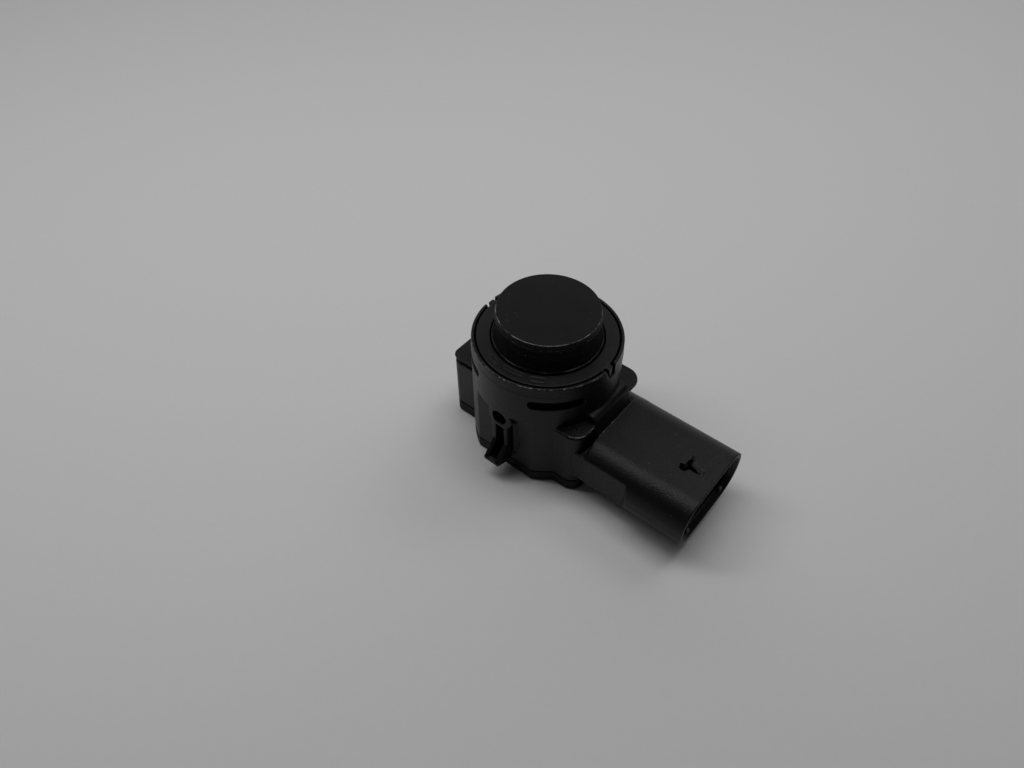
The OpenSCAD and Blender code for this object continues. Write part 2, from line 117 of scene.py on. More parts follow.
def make_lights():
    w = bpy.data.worlds.new("studio")
    scene.world = w
    w.use_nodes = True
    bg = w.node_tree.nodes["Background"]
    bg.inputs["Color"].default_value = (1.0, 1.0, 1.0, 1)
    bg.inputs["Strength"].default_value = 0.036
    card("overhead", 0.0, -0.026, 0.26, True, 0.208, 0.0728, 4.1)
    card("left", -0.208, -0.0442, 0.26, True, 0.208, 0.0364, 6.0)
    card("left_back", -0.208, -0.0832, 0.26, True, 0.208, 0.0416, 1.4)
    card("right", 0.208, -0.122, 0.26, True, 0.208, 0.12, 1.8)
    card("back", 0.0, -0.312, 0.14, False, 0.62, 0.26, 0.55)
    scene.view_settings.view_transform = "Standard"
    scene.view_settings.look = "None"
    scene.view_settings.exposure = 0.0
    scene.view_settings.gamma = 1.0


# ---------------------------------------------------------------- materials
class Nodes:
    """short helpers for one material's node tree"""

    def __init__(self, name):
        self.mat = bpy.data.materials.new(name)
        self.mat.use_nodes = True
        self.nt = self.mat.node_tree
        self.b = self.nt.nodes["Principled BSDF"]
        self.co = self.nt.nodes.new("ShaderNodeTexCoord").outputs["Object"]

    def link(self, a, b):
        self.nt.links.new(a, b)

    def noise(self, scale, detail=3.0, rough=0.55):
        n = self.nt.nodes.new("ShaderNodeTexNoise")
        n.inputs["Scale"].default_value = scale
        n.inputs["Detail"].default_value = detail
        n.inputs["Roughness"].default_value = rough
        self.link(self.co, n.inputs["Vector"])
        return n.outputs["Fac"]

    def voronoi(self, scale, feature="F1"):
        n = self.nt.nodes.new("ShaderNodeTexVoronoi")
        n.feature = feature
        n.inputs["Scale"].default_value = scale
        self.link(self.co, n.inputs["Vector"])
        return n

    def math(self, op, a, b=None, clamp=False):
        n = self.nt.nodes.new("ShaderNodeMath")
        n.operation = op
        n.use_clamp = clamp
        for i, v in enumerate((a, b)):
            if v is None:
                continue
            if isinstance(v, (int, float)):
                n.inputs[i].default_value = v
            else:
                self.link(v, n.inputs[i])
        return n.outputs[0]

    def ramp(self, fac, stops):
        n = self.nt.nodes.new("ShaderNodeValToRGB")
        els = n.color_ramp.elements
        while len(els) < len(stops):
            els.new(0.5)
        for e, (p, c) in zip(els, stops):
            e.position = p
            e.color = (c, c, c, 1) if isinstance(c, (int, float)) else tuple(c) + (1,)
        self.link(fac, n.inputs["Fac"])
        return n.outputs["Color"]

    def mix(self, fac, a, b):
        n = self.nt.nodes.new("ShaderNodeMix")
        n.data_type = "RGBA"
        ia, ib = n.inputs[6], n.inputs[7]
        self.link(fac, n.inputs[0])
        for s, v in ((ia, a), (ib, b)):
            if isinstance(v, tuple):
                s.default_value = v + (1,)
            else:
                self.link(v, s)
        return n.outputs[2]

    def attr(self, name):
        n = self.nt.nodes.new("ShaderNodeAttribute")
        n.attribute_name = name
        return n.outputs["Fac"]

    def span(self, fac, lo, hi):
        n = self.nt.nodes.new("ShaderNodeMapRange")
        n.inputs["To Min"].default_value = lo
        n.inputs["To Max"].default_value = hi
        self.link(fac, n.inputs["Value"])
        return n.outputs["Result"]

    def bump(self, height, strength, distance, normal=None):
        n = self.nt.nodes.new("ShaderNodeBump")
        n.inputs["Strength"].default_value = strength
        n.inputs["Distance"].default_value = distance
        self.link(height, n.inputs["Height"])
        if normal is not None:
            self.link(normal, n.inputs["Normal"])
        return n.outputs["Normal"]


def moulded(name, color, rough, spec=0.3, grain=5200.0, bump=0.3, specks=0.5, wear_and_sheen=(0.30, 0.29, 0.27),
            edge_wear_and_sheen=True, dust=0.0, speck_size=0.1, depth=0.00003):
    """moulded or painted black surface: fine grain, uneven gloss, dust specks, and worn edges whose lighter colour
    also serves as painted edge highlights
    """
    k = Nodes(name)
    fine = k.noise(grain, 2.0)
    mid = k.noise(1100.0, 4.0, 0.6)
    wide = k.noise(160.0, 2.0)
    tone = k.ramp(k.math("ADD", k.math("MULTIPLY", mid, 0.6), k.math("MULTIPLY", wide, 0.4)),
                  [(0.3, tuple(c * 0.8 for c in color)), (0.7, tuple(c * 1.2 for c in color))])
    if dust:
        film = k.ramp(k.math("MULTIPLY", k.noise(650.0, 5.0, 0.7), k.noise(2400.0, 3.0)),
                      [(0.25, 0.0), (0.5, 1.0)])
        tone = k.mix(k.math("MULTIPLY", film, dust), tone, (0.05, 0.048, 0.045))
    if specks:
        v = k.voronoi(1050.0)
        dot = k.ramp(v.outputs["Distance"], [(speck_size * 0.5, 1.0), (speck_size, 0.0)])
        pick = k.ramp(k.noise(420.0, 1.0), [(0.48, 0.0), (0.57, 1.0)])
        tone = k.mix(k.math("MULTIPLY", k.math("MULTIPLY", dot, pick), specks), tone, (0.22, 0.215, 0.2))
    # edges lighten with the per-point wear mask: real wear together with painted edge highlights
    if edge_wear_and_sheen:
        chips = k.math("ADD", k.math("MULTIPLY", k.noise(4200.0, 4.0, 0.65), 0.55), k.math("MULTIPLY", k.noise(800.0, 2.0), 0.45))
        fac = k.ramp(k.math("ADD", k.math("MULTIPLY", chips, 0.8), k.attr("wear_and_sheen")), [(0.72, 0.0), (0.92, 1.0)])
        tone = k.mix(fac, tone, wear_and_sheen)
    k.link(tone, k.b.inputs["Base Color"])
    k.link(k.span(k.math("ADD", k.math("MULTIPLY", mid, 0.5), k.math("MULTIPLY", wide, 0.5)), rough - 0.12, rough + 0.12),
           k.b.inputs["Roughness"])
    k.b.inputs["Specular IOR Level"].default_value = spec
    k.link(k.bump(fine, bump, depth), k.b.inputs["Normal"])
    return k.mat


def metal(name, color, rough, grain=3000.0, stretch=None):
    """tinned, drawn or enamelled metal with faint streaks"""
    k = Nodes(name)
    a = k.noise(grain, 4.0)
    b = k.noise(420.0, 3.0)
    k.link(k.ramp(k.math("ADD", k.math("MULTIPLY", a, 0.4), k.math("MULTIPLY", b, 0.6)),
                  [(0.3, tuple(c * 0.72 for c in color)), (0.7, tuple(min(1.0, c * 1.1) for c in color))]),
           k.b.inputs["Base Color"])
    k.b.inputs["Metallic"].default_value = 1.0
    k.link(k.span(b, rough - 0.1, rough + 0.12), k.b.inputs["Roughness"])
    k.link(k.bump(a, 0.2, 0.00002), k.b.inputs["Normal"])
    return k.mat


def mineral(name, color, rough, grain=2200.0, spread=0.3, bump=0.3):
    """fired, sintered, foamed or resin body with a mottled tone"""
    k = Nodes(name)
    a = k.noise(grain, 5.0, 0.65)
    b = k.noise(300.0, 3.0)
    k.link(k.ramp(k.math("ADD", k.math("MULTIPLY", a, 0.6), k.math("MULTIPLY", b, 0.4)),
                  [(0.3, tuple(c * (1 - spread) for c in color)), (0.7, tuple(min(1.0, c * (1 + spread)) for c in color))]),
           k.b.inputs["Base Color"])
    k.link(k.span(a, rough - 0.1, rough + 0.1), k.b.inputs["Roughness"])
    k.link(k.bump(a, bump, 0.00005), k.b.inputs["Normal"])
    return k.mat


def board_mask(name):
    """green lacquer over faint tracks and glass weave"""
    k = Nodes(name)
    cells = k.voronoi(520.0, "DISTANCE_TO_EDGE")
    track = k.ramp(cells.outputs["Distance"], [(0.03, 1.0), (0.06, 0.0)])
    weave = k.noise(3000.0, 3.0)
    base = k.ramp(weave, [(0.3, (0.008, 0.06, 0.025)), (0.7, (0.012, 0.085, 0.036))])
    k.link(k.mix(k.math("MULTIPLY", track, 0.7), base, (0.03, 0.16, 0.07)), k.b.inputs["Base Color"])
    k.link(k.span(weave, 0.25, 0.45), k.b.inputs["Roughness"])
    k.link(k.bump(track, 0.3, 0.00004), k.b.inputs["Normal"])
    return k.mat


# ---------------------------------------------------------------- distance fields, in millimetres
def smin(a, b, k):
    h = np.maximum(k - np.abs(a - b), 0) / k
    return np.minimum(a, b) - h * h * (k * 0.25)


def smax(a, b, k):
    return -smin(-a, -b, k)


def rect(px, py, hx, hy, r):
    qx, qy = np.abs(px) - (hx - r), np.abs(py) - (hy - r)
    return np.minimum(np.maximum(qx, qy), 0) + np.hypot(np.maximum(qx, 0), np.maximum(qy, 0)) - r


def extrude(d2, w, r):
    a, b = d2 + r, w + r
    return np.minimum(np.maximum(a, b), 0) + np.hypot(np.maximum(a, 0), np.maximum(b, 0)) - r


def between(v, lo, hi):
    return np.abs(v - (lo + hi) / 2) - (hi - lo) / 2


def polygon(pts, a, b):
    a, b = np.broadcast_arrays(a, b)
    d = np.full(a.shape, 1e9, F)
    inside = np.zeros(a.shape, bool)
    for i in range(len(pts)):
        (x0, y0), (x1, y1) = pts[i - 1], pts[i]
        ex, ey = x1 - x0, y1 - y0
        wx, wy = a - x0, b - y0
        t = np.clip((wx * ex + wy * ey) / (ex * ex + ey * ey), 0, 1)
        d = np.minimum(d, (wx - ex * t) ** 2 + (wy - ey * t) ** 2)
        cross = ((y0 <= b) & (b < y1)) | ((y1 <= b) & (b < y0))
        if ey != 0:
            inside ^= cross & (a < x0 + (b - y0) * ex / ey)
    return np.where(inside, -1, 1).astype(F) * np.sqrt(d)


class Grid:
    def __init__(self, lo, hi, h):
        self.lo, self.h = np.array(lo, float), h
        n = [int(math.ceil((b - a) / h)) + 1 for a, b in zip(lo, hi)]
        ax = [np.asarray(lo[i] + h * np.arange(n[i]), F) for i in range(3)]
        self.X, self.Y, self.Z = ax[0][:, None, None], ax[1][None, :, None], ax[2][None, None, :]
        self.R = np.hypot(self.X, self.Y)
        self.A = np.arctan2(self.Y, self.X)


def sample(D, g, P):
    q = (P - g.lo) / g.h
    i = np.clip(np.floor(q).astype(np.int64), 0, np.array(D.shape) - 2)
    f = (q - i).astype(F)
    out = 0
    for dx in (0, 1):
        for dy in (0, 1):
            for dz in (0, 1):
                w = (f[:, 0] if dx else 1 - f[:, 0]) * (f[:, 1] if dy else 1 - f[:, 1]) * (f[:, 2] if dz else 1 - f[:, 2])
                out = out + w * D[i[:, 0] + dx, i[:, 1] + dy, i[:, 2] + dz]
    return out


def gradient(D, g, P, e):
    n = np.empty(P.shape)
    for ax in range(3):
        s = np.zeros(3)
        s[ax] = e
        n[:, ax] = sample(D, g, P + s) - sample(D, g, P - s)
    return n / (2 * e)


def skin(D, g):
    """surface nets on the zero level: points, quads, normals and how sharply convex each point is"""
    s = D < 0
    nx, ny, nz = D.shape
    cnt = np.zeros((nx - 1, ny - 1, nz - 1), np.uint8)
    corners = [(x, y, z) for x in (0, 1) for y in (0, 1) for z in (0, 1)]
    for x, y, z in corners:
        cnt += s[x:nx - 1 + x, y:ny - 1 + y, z:nz - 1 + z]
    I = np.argwhere((cnt > 0) & (cnt < 8))
    idx = np.full(cnt.shape, -1, np.int32)
    idx[I[:, 0], I[:, 1], I[:, 2]] = np.arange(len(I))
    P, m = np.zeros((len(I), 3)), np.zeros(len(I))
    for c in corners:
        for ax in range(3):
            if c[ax]:
                continue
            d = list(c)
            d[ax] = 1
            va = D[I[:, 0] + c[0], I[:, 1] + c[1], I[:, 2] + c[2]].astype(float)
            vb = D[I[:, 0] + d[0], I[:, 1] + d[1], I[:, 2] + d[2]].astype(float)
            k = (va < 0) != (vb < 0)
            t = va[k] / (va[k] - vb[k])
            P[k] += c
            P[k, ax] += t
            m[k] += 1
    P = g.lo + g.h * (P / m[:, None] + I)
    quads = []
    for ax in range(3):
        u, v = (ax + 1) % 3, (ax + 2) % 3
        lo = [slice(None)] * 3
        hi = [slice(None)] * 3
        lo[ax], hi[ax] = slice(0, -1), slice(1, None)
        sa, sb = s[tuple(lo)], s[tuple(hi)]
        E = np.argwhere(sa != sb)
        E = E[(E[:, u] > 0) & (E[:, u] < D.shape[u] - 1) & (E[:, v] > 0) & (E[:, v] < D.shape[v] - 1)]
        out = sa[E[:, 0], E[:, 1], E[:, 2]]
        q = []
        for du, dv in ((1, 1), (0, 1), (0, 0), (1, 0)):
            c = E.copy()
            c[:, u] -= du
            c[:, v] -= dv
            q.append(idx[c[:, 0], c[:, 1], c[:, 2]])
        q = np.stack(q, 1)
        q[~out] = q[~out][:, ::-1]
        quads.append(q)
    quads = np.concatenate(quads)
    for _ in range(2):
        n = gradient(D, g, P, g.h * 0.5)
        l2 = np.maximum((n * n).sum(1), 0.05)
        step = np.clip(sample(D, g, P) / l2, -0.35 * g.h, 0.35 * g.h)
        P = P - n * step[:, None]
    n = gradient(D, g, P, g.h * 0.6)
    n /= np.maximum(np.linalg.norm(n, axis=1), 1e-9)[:, None]
    e = 0.22
    bend = -6 * sample(D, g, P)
    for ax in range(3):
        o = np.zeros(3)
        o[ax] = e
        bend = bend + sample(D, g, P + o) + sample(D, g, P - o)
    return P, quads, n, bend / e


# ---------------------------------------------------------------- meshes
def add_mesh(name, P, quads, normals=None, wear_and_sheen=None, material=None):
    used = np.unique(quads)
    remap = np.full(len(P), -1, np.int64)
    remap[used] = np.arange(len(used))
    q = remap[quads].astype(np.int32)
    me = bpy.data.meshes.new(name)
    me.vertices.add(len(used))
    me.vertices.foreach_set("co", (P[used] * MM).astype(F).ravel())
    me.loops.add(q.size)
    me.loops.foreach_set("vertex_index", q.ravel())
    me.polygons.add(len(q))
    me.polygons.foreach_set("loop_start", np.arange(0, q.size, q.shape[1], dtype=np.int32))
    me.update(calc_edges=True)
    me.polygons.foreach_set("use_smooth", np.ones(len(q), bool))
    # the per-point mask of lighter edges, real wear together with painted edge highlights, goes into a mesh attribute
    if wear_and_sheen is not None:
        at = me.attributes.new("wear_and_sheen", "FLOAT", "POINT")
        at.data.foreach_set("value", np.ascontiguousarray(wear_and_sheen[used], F))
    if normals is not None:
        me.normals_split_custom_set_from_vertices(np.ascontiguousarray(normals[used], F).tolist())
    if material:
        me.materials.append(material)
    ob = bpy.data.objects.new(name, me)
    scene.collection.objects.link(ob)
    return ob


def place(ob, slot, *nodes):
    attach(ob, "root")
    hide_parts(*nodes)


def lathe(name, profile, seg, material, wear_and_sheen_at, closed_top=False):
    """profile is a list of (radius, height, wear and painted edge highlight) from the axis or the inside outwards"""
    prof = np.array([(r, z) for r, z, _ in profile])
    th = np.arange(seg) * 2 * np.pi / seg
    P, W, q = [], [], []
    for r, z, w in profile:
        P.append(np.stack([r * np.cos(th), r * np.sin(th), np.full(seg, z)], 1))
        W.append(wear_and_sheen_at(th, w))
    n = len(profile)
    a = np.arange(seg)
    b = (a + 1) % seg
    for i in range(n - 1):
        q.append(np.stack([i * seg + a, i * seg + b, (i + 1) * seg + b, (i + 1) * seg + a], 1))
    P, W, q = np.concatenate(P), np.concatenate(W), np.concatenate(q)
    t = np.gradient(prof, axis=0)
    nr, nz = -t[:, 1], t[:, 0]
    ln = np.maximum(np.hypot(nr, nz), 1e-9)
    nr, nz = -nr / ln, -nz / ln
    N = np.concatenate([np.stack([nr[i] * np.cos(th), nr[i] * np.sin(th), np.full(seg, nz[i])], 1) for i in range(n)])
    return add_mesh(name, P, q, N, W, material)


def fillet(p0, p1, p2, r, w, n=5):
    """points that round the corner p1 between p0 and p2, all marked with wear and painted edge highlight w"""
    p0, p1, p2 = (np.array(v, float) for v in (p0, p1, p2))
    u, v = (p0 - p1) / np.linalg.norm(p0 - p1), (p2 - p1) / np.linalg.norm(p2 - p1)
    half = math.acos(max(-1, min(1, float(u @ v)))) / 2
    d = r / math.tan(half)
    c = p1 + (u + v) / np.linalg.norm(u + v) * r / math.sin(half)
    a, b = p1 + u * d - c, p1 + v * d - c
    a0, a1 = math.atan2(a[1], a[0]), math.atan2(b[1], b[0])
    da = (a1 - a0 + math.pi) % (2 * math.pi) - math.pi
    return [(c[0] + r * math.cos(a0 + da * i / n), c[1] + r * math.sin(a0 + da * i / n), w) for i in range(n + 1)]


# ---------------------------------------------------------------- housing
def lug_notch(g):
    pts = [(-0.92, 23), (-0.92, 20.85), (-0.15, 19.1), (1.12, 19.1), (1.12, 23)]
    return np.maximum(polygon(pts, g.Y[0], g.Z[0])[None], 9.9 - np.abs(g.X))


def foot_plan(x, y):
    d = np.maximum(np.hypot(x, y) - 11.3, np.abs(y) - 10)
    d = smin(d, rect(x - 6.075, y, 6.075, 8.0, 2.2), 0.5)
    return smin(d, rect(x + 6.875, y, 6.875, 6.3, 1.2), 0.35)


def housing_field(g):
    X, Y, Z, R = g.X, g.Y, g.Z, g.R
    Ya, Xa = np.abs(Y), np.abs(X)
    # barrel, with a slightly drawn-in band at the rim and two flats lower down
    rim = 11.3 - 0.035 * np.clip((Z - 19.35) / 0.12, 0, 1) - 0.05 * np.clip((Z - 19.4) / 1.7, 0, 1)
    d = extrude(R - rim, between(Z, 13.4, 21.1), 0.1)
    low = smax(R - 11.3, Ya - 10.0, 0.1)
    d = np.minimum(d, extrude(low, between(Z, 2.3, 13.6), 0.06))
    # near column with a lip round its top, far column with an overhanging rounded plate
    col = rect(X - 6.075, Y, 6.075, 8.0, 2.2)
    near = smax(col, Y - 4.3, 0.1)
    d = smin(d, extrude(near, between(Z, 2.3, 12.36), 0.1), 0.4)
    d = smin(d, extrude(near + 0.32, between(Z, 11.0, 12.8), 0.05), 0.1)
    d = smin(d, extrude(near - 0.06, between(Z, 12.58, 12.93), 0.08), 0.05)
    d = smin(d, extrude(smax(col, 4.0 - Y, 0.1), between(Z, 2.3, 8.4), 0.1), 0.3)
    d = smin(d, extrude(rect(X - 5.4, Y, 5.4, 7.3, 1.4), between(Z, 2.3, 12.8), 0.1), 0.2)
    lobe = smax(rect(X - 6.1, Y, 6.1, 8.8, 2.6), 4.3 - Y, 0.1)
    d = smin(d, extrude(lobe, between(Z, 12.48, 12.93), 0.12), 0.1)
    # side block with a groove under its plate
    d = smin(d, extrude(rect(X + 6.875, Y, 6.875, 6.3, 1.2), between(Z, 2.3, 11.63), 0.26), 0.25)
    d = np.minimum(d, extrude(rect(X + 6.5, Y, 6.5, 5.55, 1.2), between(Z, 2.3, 12.75), 0.05))
    d = smin(d, extrude(rect(X + 6.9, Y, 6.9, 6.5, 1.4), between(Z, 12.58, 12.93), 0.09), 0.06)
    # shroud: a rounded tube, its lower part runs back to the columns
    tube = rect(Y, Z - 6.74, 8.42, 4.38, 4.04)
    t = np.clip((Ya - 4.4) / 2.5, 0, 1)
    round_end = np.where(X < 20, 0.1 + 0.5 * t * t, 0.16).astype(F)
    sh = extrude(tube, between(X, 12.85, 30.2), round_end)
    flat = 7.66 + np.clip((X - 20.2) / 0.8, 0, 1.3)
    sh = smax(sh, Ya - flat, 0.1)
    root = extrude(smax(smax(tube, Ya - 7.64, 0.1), Z - np.where(Y > 0, 10.9, 9.4), 0.1), between(X, 6.0, 14.5), 0.1)
    pocket = np.maximum(np.maximum(between(X, 11.0, 12.8), -Y - 7.15), np.maximum(4.0 + Y, 9.05 - Z))
    root = smax(root, -np.maximum(pocket, 0.02 - col), 0.22)
    sh = smin(sh, root, 0.16)
    # rounded gusset between barrel and shroud
    gus = polygon([(7, 9), (7, 14.3), (10.9, 14.3), (10.9, 12.95), (12.25, 12.95), (12.97, 10.85), (12.97, 9)],
                  X[:, 0], Z[0])
    gus = np.minimum(gus, np.hypot(X[:, 0] - 10.9, Z[0] - 12.95) - 1.35)[:, None, :]
    gus = extrude(gus, between(Y, -4.0, 4.6), 0.1)
    d = smin(smin(d, gus, 0.22), sh, 0.08)
    # cuts beside the snap tongues
    d = smax(d, -np.maximum(np.maximum(between(Xa, 1.40, 1.74), 9.6 - Ya), between(Z, 4.4, 11.0)), 0.08)
    tri = polygon([(1.5, 13.4), (2.62, 13.4), (2.55, 12.95), (2.2, 12.3), (1.8, 12.45)], Xa[:, :, 0], Z[0])
    d = smax(d, -np.maximum(tri[:, None, :], 9.5 - Ya), 0.08)
    d = smax(d, -np.maximum(np.maximum(Xa - 0.72, 9.5 - Ya), between(Z, 3.5, 10.0)), 0.1)
    # tongues with their hooks, and the boss that they hang from
    wall = polygon([(9.4, 12.2), (11.15, 12.2), (11.15, 6.6), (13.37, 3.95), (13.37, 3.4), (11.5, 2.7), (9.4, 2.7)],
                   Ya[0], Z[0])[None]
    hook = polygon([(9.4, 2.7), (11.5, 2.7), (13.37, 3.4), (13.37, 3.95), (12.7, 4.0), (11.6, 3.5), (9.4, 3.5)],
                   Ya[0], Z[0])[None]
    t = extrude(wall, between(Xa, 0.72, 1.42), 0.1)
    t = smin(t, extrude(hook, Xa - 1.42, 0.1), 0.06)
    boss = np.hypot(X, Z - 12.2) - 2.15
    boss = smax(smax(boss, R - 11.28, 0.12), 9.2 - Ya, 0.1)
    t = smin(t, smax(boss, -np.maximum(np.maximum(Xa - 0.72, 9.5 - Ya), between(Z, 3.5, 10.3)), 0.12), 0.2)
    t = smin(t, extrude(rect(Xa - 2.04, Z - 8.2, 0.3, 3.4, 0.15), between(Ya, 9.0, 10.3), 0.1), 0.1)
    d = smin(d, t, 0.1)
    d = smax(d, -np.maximum(np.hypot(X, Z - 12.2) - 1.25, 9.6 - Ya), 0.1)
    # seat of the ring, and the notches for its lugs
    d = smax(d, -np.maximum(R - 10.75, 19.0 - Z), 0.08)
    d = smax(d, -lug_notch(g), 0.08)
    # slots round the barrel
    for a in (45, 135, 225, 315):
        s = 11.3 * ((g.A - math.radians(a) + np.pi) % (2 * np.pi) - np.pi)
        cap = np.hypot(np.maximum(np.abs(s) - 3.5, 0), Z - 17.65) - 0.75
        d = smax(d, -np.maximum(cap, 10.3 - R), 0.08)
    # socket with a lead-in at its mouth
    lead = 0.62 * np.clip((X - 29.3) / 0.9, 0, 1)
    qy, qz = np.abs(Y) - (7.2 - 3.04), np.abs(Z - 6.74) - (3.38 - 3.04)
    soc = np.minimum(np.maximum(qy, qz), 0) + np.hypot(np.maximum(qy, 0), np.maximum(qz, 0)) - 3.04 - lead
    d = smax(d, -np.maximum(soc, 16.5 - X), 0.08)
    # latch window with a step beside it
    hole = [(24.6, -0.5), (25.3, -0.45), (25.35, 0.3), (25.6, 0.4), (27.7, -0.48), (27.75, -0.7), (26.0, -0.75),
            (25.75, -1.5), (24.85, -1.4)]
    step = [(25.45, 0.2), (25.3, 0.45), (25.52, 1.08), (25.22, 1.8), (25.42, 1.95), (25.85, 1.08), (26.8, 0.52),
            (27.9, 0.38), (28.08, -0.3), (27.85, -0.62), (27.0, -0.5)]
    d = smax(d, -np.maximum(polygon(hole, X[:, :, 0], Y[:, :, 0])[:, :, None], 7.0 - Z), 0.06)
    edge = np.interp(X[:, 0, 0], [25.2, 25.5, 25.85, 26.8, 27.9, 28.1], [1.9, 1.9, 1.08, 0.52, 0.38, 0.3]).astype(F)
    ramp = (11.14 - Z) * 0.86 - 0.5 * np.maximum(edge[:, None, None] - Y, 0)
    d = smax(d, -np.maximum(polygon(step, X[:, :, 0], Y[:, :, 0])[:, :, None], ramp), 0.06)
    # guide ribs on the socket floor
    rib = extrude(rect(Ya - 4.7, Z - 3.2, 0.34, 0.6, 0.15), between(X, 16.0, 29.8), 0.15)
    return np.minimum(d, rib)


def make_housing(mat):
    h = 0.125
    g = Grid((-14.3, -13.95, 1.9), (30.7, 13.95, 21.6), h)
    P, quads, N, bend = skin(housing_field(g), g)
    # lighter convex edges from the curvature: wear together with painted edge highlights
    wear_and_sheen = np.clip((bend - 0.45) / 1.6, 0, 1) * 0.36
    r, a = np.hypot(P[:, 0], P[:, 1]), np.degrees(np.arctan2(P[:, 1], P[:, 0]))
    x, y, z = P[:, 0], P[:, 1], P[:, 2]
    # painted highlight line along the socket mouth
    wear_and_sheen = np.where(x > 29.95, wear_and_sheen * 1.25, wear_and_sheen)
    # painted highlight line along the near shelf edge
    wear_and_sheen = np.where((z > 12.6) & (z < 13.0) & (x > 4) & (x < 12.4) & (y < -3), wear_and_sheen * 1.8, wear_and_sheen)
    # painted highlight line along the rear top edge of the shroud
    wear_and_sheen = np.where((np.abs(x - 12.93) < 0.13) & (z > 10.95) & (z < 11.2) & (np.abs(y) < 4.7), 0.35, wear_and_sheen)
    # painted glints at the front tips of the guide ribs
    wear_and_sheen = np.where((x > 29.5) & (z > 3.0) & (z < 4.0) & (np.abs(np.abs(y) - 4.7) < 0.3) & (np.abs(z - 3.65) < 0.25), 0.36, wear_and_sheen)
    # rim outer edge: chipped wear, heavier on the front, with a painted edge highlight
    rim = np.clip(1.15 - np.hypot(r - 11.19, P[:, 2] - 21.08) / 0.16, 0, 1)
    front = np.clip((a + 165) / 25, 0, 1) * np.clip((0 - a) / 15, 0, 1)
    chip = np.random.default_rng(5).uniform(0, 1, 540) ** 1.6
    chip = np.interp((a + 180) / 360 * 540, np.arange(541), np.append(chip, chip[0]))
    wear_and_sheen = np.where(P[:, 2] > 20.7, rim * (0.2 + (0.08 + 0.2 * front) * chip + 0.1 * front), wear_and_sheen)
    c = P[quads].mean(1)
    near = c[:, 1] < 0
    part = np.where(c[:, 0] > 12.3, np.where(near, 4, 5),
                    np.where(c[:, 2] > 13.0, np.where(near, 0, 1), np.where(near, 2, 3)))
    for i, name in enumerate(("housing_head_near", "housing_head_far", "housing_foot_near", "housing_foot_far",
                              "housing_shroud_near", "housing_shroud_far")):
        place(add_mesh(name, P, quads[part == i], N, wear_and_sheen, mat), "housing_black", "housing")


# ---------------------------------------------------------------- cover, ring, collar, head
def make_cover(mat):
    seg = 900
    th = np.arange(seg) * 2 * np.pi / seg
    cs, sn = np.cos(th), np.sin(th)

    def outline(g):
        lo, hi = np.full(seg, 5.0), np.full(seg, 16.0)
        for _ in range(30):
            m = (lo + hi) / 2
            inside = foot_plan(m * cs, m * sn) < -g
            lo, hi = np.where(inside, m, lo), np.where(inside, hi, m)
        return lo

    # the edges of the plate are marked lighter: wear together with a painted edge highlight
    rings = [(0.9, 0.0, 0.0), (0.32, 0.0, 0.0), (0.2, 0.01, 0.0), (0.09, 0.06, 0.1), (0.02, 0.15, 0.1), (0.0, 0.28, 0.0),
             (0.0, 0.7, 0.0), (0.0, 1.5, 0.0), (0.0, 2.02, 0.0), (0.015, 2.09, 0.2), (0.05, 2.135, 0.25), (0.1, 2.15, 0.1),
             (0.16, 2.155, 0.0), (0.3, 2.16, 0.0), (0.32, 2.2, 0.0), (0.32, 2.34, 0.0)]
    P, W, q = [np.array([[0.0, 0.0, 0.0]] * seg)], [np.zeros(seg)], []
    for g, z, w in rings:
        r = outline(g)
        P.append(np.stack([r * cs, r * sn, np.full(seg, z)], 1))
        W.append(np.full(seg, w))
    a = np.arange(seg)
    b = (a + 1) % seg
    for i in range(len(P) - 1):
        q.append(np.stack([i * seg + a, i * seg + b, (i + 1) * seg + b, (i + 1) * seg + a], 1)[:, ::-1])
    P, q = np.concatenate(P), np.concatenate(q)
    ob = add_mesh("rear_cover_plate", P, q, None, np.concatenate(W), mat)
    bm = bmesh.new()
    bm.from_mesh(ob.data)
    bmesh.ops.remove_doubles(bm, verts=bm.verts, dist=1e-8)
    bmesh.ops.recalc_face_normals(bm, faces=bm.faces)
    bm.to_mesh(ob.data)
    bm.free()
    place(ob, "cover_black", "rear_cover")


def make_ring(mat):
    h = 0.1
    g = Grid((-11.5, -11.5, 18.7), (11.5, 11.5, 21.4), h)
    d = extrude(np.abs(g.R - 9.46) - 1.04, between(g.Z, 19.0, 21.05), 0.1)
    lug = polygon([(-0.42, 21.05), (-0.06, 19.2), (0.62, 19.2), (0.62, 21.05)], g.Y[0], g.Z[0])[None]
    lug = smax(extrude(lug, between(np.abs(g.X), 9.8, 11.6), 0.06), g.R - 11.08, 0.1)
    d = smin(d, lug, 0.08)
    for r0, r1, a0, a1 in ((9.1, 9.95, -114, -102), (8.85, 9.55, -95, -73), (8.95, 9.95, -68, -54)):
        s = 9.5 * ((g.A - math.radians((a0 + a1) / 2) + np.pi) % (2 * np.pi) - np.pi)
        f = rect(s, g.R - (r0 + r1) / 2, 9.5 * math.radians(a1 - a0) / 2, (r1 - r0) / 2, 0.3)
        d = smax(d, -np.maximum(np.abs(f + 0.09) - 0.09, 21.015 - g.Z), 0.05)
    P, quads, N, bend = skin(d, g)
    r = np.hypot(P[:, 0], P[:, 1])
    # outer edges lighter: wear together with a painted bevel highlight
    wear_and_sheen = np.clip((bend - 0.4) / 1.8, 0, 1) * np.where(r > 10.3, 0.32, 0.0)
    place(add_mesh("ring_flange", P, quads, N, wear_and_sheen, mat), "ring_black", "retaining_ring")


